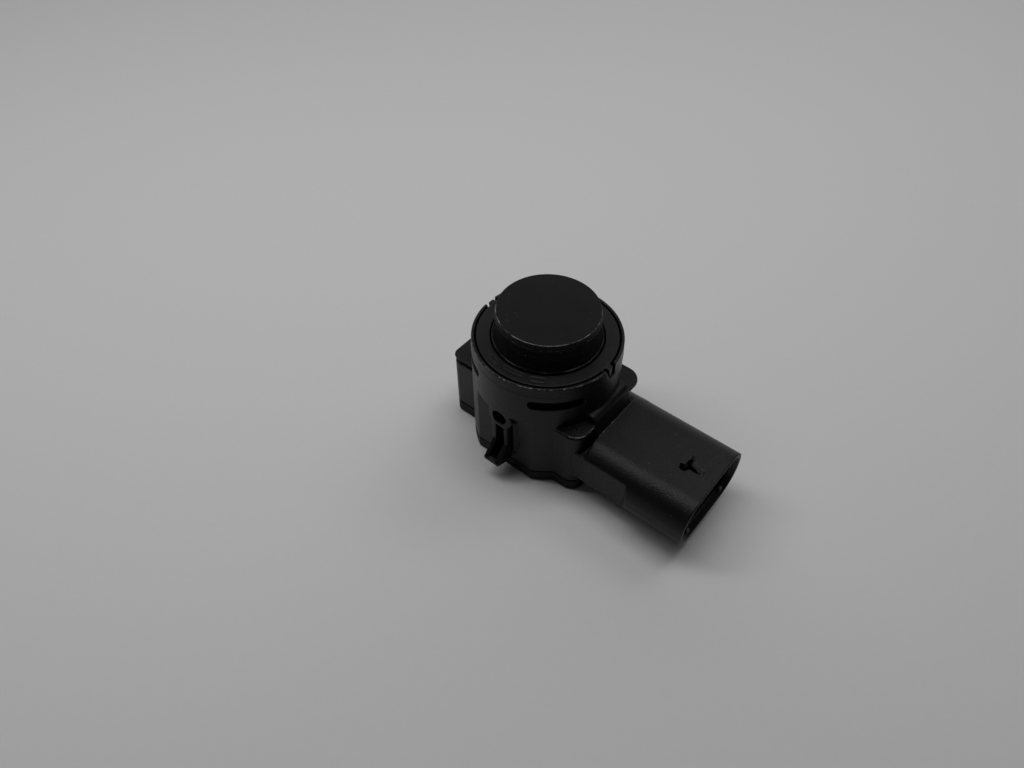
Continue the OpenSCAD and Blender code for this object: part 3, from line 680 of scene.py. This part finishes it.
def make_collar(mat):
    rng = np.random.default_rng(4)
    # the lip fillet and the foot of the neck are marked lighter: wear together with a painted edge highlight
    prof = [(7.0, 19.3, 0), (8.2, 19.3, 0), (8.22, 20.6, 0)]
    prof += fillet((8.22, 20.6), (8.22, 21.26), (7.9, 21.3), 0.12, 0.37)
    a, b = 8.06 - 7.36, 24.64 - 21.29
    arc = (a * a + b * b) / (2 * a)
    t1 = math.asin(b / arc)
    for i in range(27):
        t = t1 * (1 - i / 26)
        prof.append((7.36 + arc * (1 - math.cos(t)), 24.64 - arc * math.sin(t), 0.1 * max(0, 1 - i / 6)))
    prof += [(7.3, 24.655, 0), (7.05, 24.66, 0)]
    ph = rng.uniform(0, 6.28, 8)

    def wear_and_sheen_at(th, w):
        s = sum(np.sin((i + 2) * 1.7 * th + ph[i]) for i in range(8)) / 8
        return np.clip(w * (1 + 0.8 * s), 0, 1)

    ob = lathe("collar_neck", prof, 320, mat, wear_and_sheen_at)
    place(ob, "collar_black", "decoupling_ring")


def make_head(mat, band_shaded_mat):
    rng = np.random.default_rng(9)
    ph = rng.uniform(0, 6.28, 10)

    def wear_and_sheen_at(th, w):
        s = sum(np.sin(round((i + 1) * 4.3) * th + ph[i]) for i in range(10)) / 5
        # lighter toward the side facing the camera: painted highlight on the edge lines, over the wear
        front = 0.78 + 0.22 * np.cos(th + 1.05)
        return np.clip(w * front * (1 + 0.22 * s), 0, 1)

    face = [(0.0, 25.9, 0), (2.5, 25.9, 0), (5.0, 25.9, 0), (6.8, 25.9, 0), (7.3, 25.9, 0), (7.42, 25.9, 0.0)]
    # the face edge and the lip are marked lighter: wear together with painted edge highlights
    face += fillet((7.2, 25.9), (7.55, 25.9), (7.6, 25.6), 0.06, 0.45, 6)
    side = face[-1:] + [(7.57, 25.74, 0.2), (7.585, 25.62, 0.0), (7.6, 25.5, 0), (7.63, 25.36, 0), (7.67, 25.24, 0)]
    side += fillet((7.67, 25.24), (7.75, 25.07), (7.75, 24.66), 0.05, 0.36, 6)
    side += [(7.75, 24.97, 0.1), (7.75, 24.84, 0.05)]
    side += fillet((7.75, 24.84), (7.75, 24.66), (7.3, 24.66), 0.05, 0.15, 4)
    side += [(7.6, 24.66, 0), (7.2, 24.66, 0)]
    place(lathe("head_face", face[::-1], 320, mat, wear_and_sheen_at), "head_paint", "membrane_pot")
    place(lathe("head_band", side[::-1], 320, band_shaded_mat, wear_and_sheen_at), "head_paint", "membrane_pot")


# ---------------------------------------------------------------- build
make_camera()
make_stage()
make_lights()

shell = moulded("housing_black", (0.0055, 0.0055, 0.0056), 0.34, spec=0.22, grain=5000.0, bump=1.0,
                depth=0.00006, specks=0.45, wear_and_sheen=(0.42, 0.41, 0.39))
foot = moulded("cover_black", (0.0028, 0.0028, 0.0060), 0.5, spec=0.17, specks=0.25)
satin = moulded("ring_black", (0.0065, 0.0065, 0.0080), 0.42, spec=0.265, grain=7000.0, bump=0.2, specks=0.3)
rubber = moulded("collar_black", (0.0022, 0.0022, 0.0022), 0.75, spec=0.16, specks=0.7, dust=0.42, wear_and_sheen=(0.10, 0.097, 0.092))
paint = moulded("head_paint", (0.0048, 0.0048, 0.0049), 0.42, spec=0.18, grain=6500.0, bump=0.12, specks=0.35,
                wear_and_sheen=(0.31, 0.30, 0.29))
# painted shade: the side band of the head gets a darker, duller copy of the head paint
band = moulded("head_band_shaded_paint", (0.0022, 0.0022, 0.0023), 0.5, spec=0.14, grain=6500.0, bump=0.2, specks=0.5,
               wear_and_sheen=(0.22, 0.215, 0.21))
make_housing(shell)
make_cover(foot)
make_ring(satin)
make_collar(rubber)
make_head(paint, band)

tin = metal("terminal_tin", (0.62, 0.60, 0.55), 0.32)
INNER = {
    "piezo_disc": mineral("piezo_grey", (0.45, 0.43, 0.36), 0.5),
    "damping_foam": mineral("foam_grey", (0.22, 0.22, 0.20), 0.9, 1500.0, 0.5, 0.8),
    "pot_plug": mineral("plug_grey", (0.05, 0.05, 0.05), 0.7),
    "signal_lead": metal("lead_copper", (0.62, 0.33, 0.17), 0.35),
    "circuit_board": board_mask("board_green"),
    "control_chip": mineral("chip_black", (0.014, 0.014, 0.014), 0.55),
    "chip_leads": metal("leg_tin", (0.6, 0.6, 0.58), 0.35),
    "transformer_core": mineral("ferrite_grey", (0.05, 0.05, 0.055), 0.6, 1800.0, 0.4),
    "transformer_winding": metal("winding_copper", (0.5, 0.23, 0.08), 0.35, 5200.0),
    "buffer_capacitor": metal("can_silver", (0.62, 0.62, 0.64), 0.3),
    "ceramic_capacitors": mineral("ceramic_tan", (0.30, 0.21, 0.12), 0.5),
    "chip_resistors": mineral("resistor_black", (0.02, 0.02, 0.02), 0.35),
    "protection_diode": mineral("diode_black", (0.016, 0.016, 0.016), 0.55),
    "terminal_supply": tin, "terminal_signal": tin, "terminal_ground": tin,
    "solder_joints": metal("solder_tin", (0.66, 0.66, 0.68), 0.25),
}
INNER["ground_lead"] = INNER["signal_lead"]
for name, mat in INNER.items():
    me = NODES[name].data
    me.materials.clear()
    me.materials.append(mat)

bpy.context.view_layer.update()
